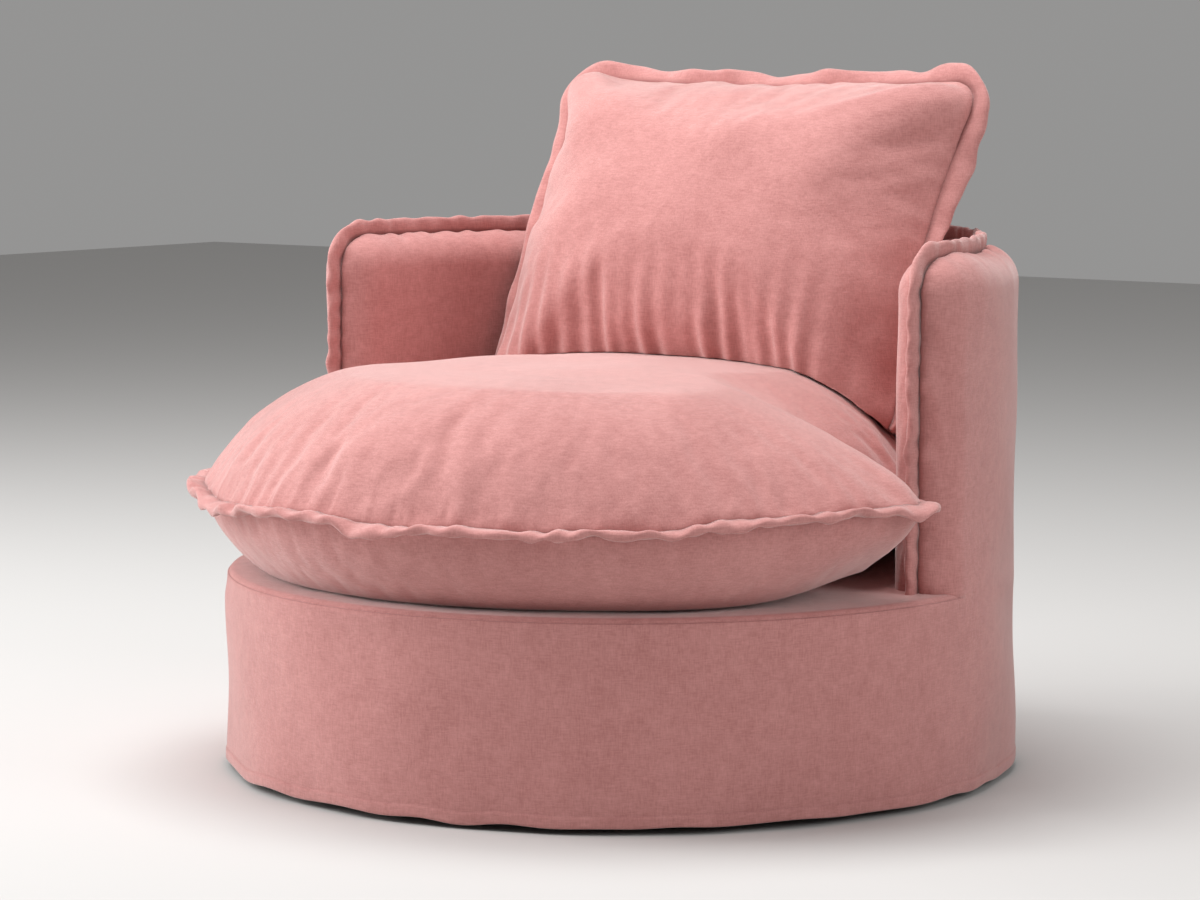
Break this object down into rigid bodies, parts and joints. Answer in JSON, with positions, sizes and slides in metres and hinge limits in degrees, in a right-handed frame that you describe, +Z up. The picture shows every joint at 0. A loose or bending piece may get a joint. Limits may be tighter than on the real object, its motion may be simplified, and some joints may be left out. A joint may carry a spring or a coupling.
{
  "type": "cuddle chair",
  "caption": "Round upholstered swivel armchair: a floor-length drum, a half-circle arm and back wall with a flanged edge, and loose seat and back cushions.",
  "frame": {"origin": "on the floor at the middle of the drum, on the axis that the chair swivels about", "axes": "+Z up, the seat faces -Y, +X is the right hand of someone who looks at the chair from the front"},
  "size_m": [1.0768, 1.05, 0.8856],
  "materials": {
    "velvet": "dusty pink velvet, matt with a soft sheen",
    "wadding": "polyester wadding",
    "foam": "polyurethane foam",
    "webbing": "elastic webbing",
    "dust_cloth": "black spun-bonded cloth",
    "plywood": "bare birch plywood",
    "timber": "planed softwood",
    "hardboard": "bent hardboard, 3 mm",
    "rubber": "matt black rubber",
    "race_steel": "zinc-plated steel",
    "ball_steel": "polished steel balls",
    "screw_steel": "yellow zinc-plated screws",
    "nylon": "natural nylon",
    "zip_tape": "coil zip on woven tape",
    "zip_metal": "zip slider, enamelled to match"
  },
  "bodies": {
    "base": {"floor_ring": "rubber", "plinth_disc": "plywood", "lower_race": "race_steel", "lower_race_screws": "screw_steel"},
    "bearing": {"bearing_balls": "ball_steel", "ball_cage": "nylon"},
    "chair": {"upper_race": "race_steel", "upper_race_screws": "screw_steel", "bottom_board": "plywood", "dust_cover": "dust_cloth", "drum_posts": "timber", "post_screws": "screw_steel", "seat_ring": "plywood", "drum_board": "hardboard", "drum_padding": "wadding", "webbing_across": "webbing", "webbing_along": "webbing", "deck_foam": "foam", "deck_cover": "velvet", "wall_posts": "timber", "arm_front_posts": "timber", "top_rail": "timber", "inner_board": "hardboard", "outer_board": "hardboard", "wall_padding": "wadding", "outer_cover": "velvet", "inner_cover": "velvet", "wall_flange": "velvet"},
    "seat_cushion": {"seat_cover": "velvet", "seat_wrap": "wadding", "seat_core": "foam", "seat_flange": "velvet", "seat_zip": "zip_tape"},
    "zip_slider": {"seat_zip_slider": "zip_metal"},
    "back_cushion": {"back_cover": "velvet", "back_wrap": "wadding", "back_pad": "wadding", "back_flange": "velvet"}
  },
  "joints": [
    {"name": "swivel", "type": "hinge", "parent": "base", "child": "chair", "pos_m": [0, 0, 0.029], "axis": [0, 0, 1], "continuous": true},
    {"name": "bearing_roll", "type": "hinge", "parent": "base", "child": "bearing", "pos_m": [0, 0, 0.029], "axis": [0, 0, 1], "continuous": true},
    {"name": "seat_lift", "type": "slide", "parent": "chair", "child": "seat_cushion", "axis": [0, 0, 1], "range_m": [0, 0.45]},
    {"name": "back_lift", "type": "slide", "parent": "seat_cushion", "child": "back_cushion", "axis": [0, 0, 1], "range_m": [0, 0.35]},
    {"name": "zip_run", "type": "hinge", "parent": "seat_cushion", "child": "zip_slider", "pos_m": [0, -0.00495, 0.31308], "axis": [0, 0, 1], "range_deg": [0, 66]}
  ],
  "couplings": [
    {"joint": "bearing_roll", "follows": "swivel", "ratio": 0.5}
  ]
}
